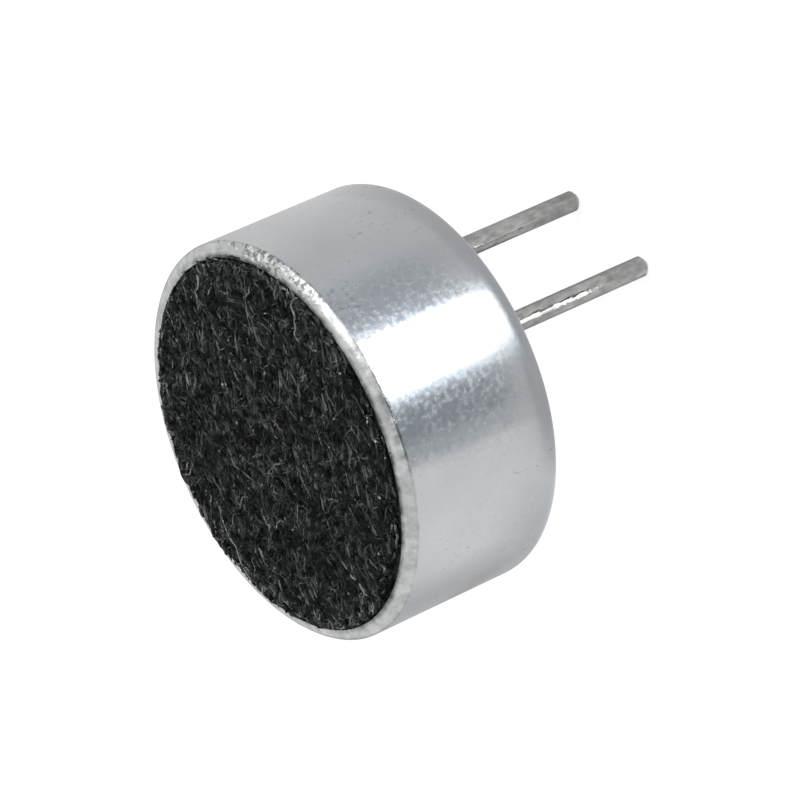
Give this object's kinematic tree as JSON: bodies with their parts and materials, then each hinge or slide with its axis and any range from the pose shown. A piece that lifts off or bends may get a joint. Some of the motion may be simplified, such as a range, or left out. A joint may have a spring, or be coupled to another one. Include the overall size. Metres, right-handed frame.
{
  "type": "electret microphone capsule",
  "caption": "Round metal microphone capsule with a black felt front and two straight solder pins behind.",
  "frame": {"origin": "midway between the two pins, in the plane of the crimped rear edge, which sits on the circuit board", "axes": "+Z out of the felt front along the can's axis, the pins point along -Z, the pins' line is along X, and the can's axis stands 2.3 mm behind that line at +Y"},
  "size_m": [0.0098, 0.0096, 0.0095],
  "materials": {
    "can_aluminium": "satin, tumbled",
    "felt_black": "fibrous felt",
    "adhesive": "clear acrylic film",
    "brass_ring": "plain",
    "polyester_film": "smooth",
    "spacer_polyester": "matt",
    "insulator_plastic": "moulded",
    "board_green": "solder mask over glass laminate",
    "copper_foil": "plain copper",
    "tinned_foil": "tinned copper",
    "transistor_epoxy": "moulded",
    "lead_tin": "matt tin",
    "chip_ceramic": "fired ceramic",
    "pin_tin": "dull tin over steel wire",
    "solder": "bright solder"
  },
  "bodies": {
    "root": {"pin_output": "pin_tin", "pin_ground": "pin_tin", "can": "can_aluminium", "felt_disc": "felt_black", "adhesive_ring": "adhesive", "diaphragm_ring": "brass_ring", "diaphragm_film": "polyester_film", "spacer_ring": "spacer_polyester", "electret_film": "polyester_film", "back_plate": "brass_ring", "holder_ring": "insulator_plastic", "contact_ring": "brass_ring", "circuit_board": "board_green", "gate_foil": "copper_foil", "drain_foil": "copper_foil", "source_foil": "copper_foil", "ground_foil": "tinned_foil", "output_foil": "tinned_foil", "transistor_body": "transistor_epoxy", "gate_lead": "lead_tin", "drain_lead": "lead_tin", "source_lead": "lead_tin", "capacitor_a": "chip_ceramic", "capacitor_a_ends": "lead_tin", "capacitor_b": "chip_ceramic", "capacitor_b_ends": "lead_tin", "solder_output": "solder", "solder_ground": "solder"}
  },
  "joints": []
}
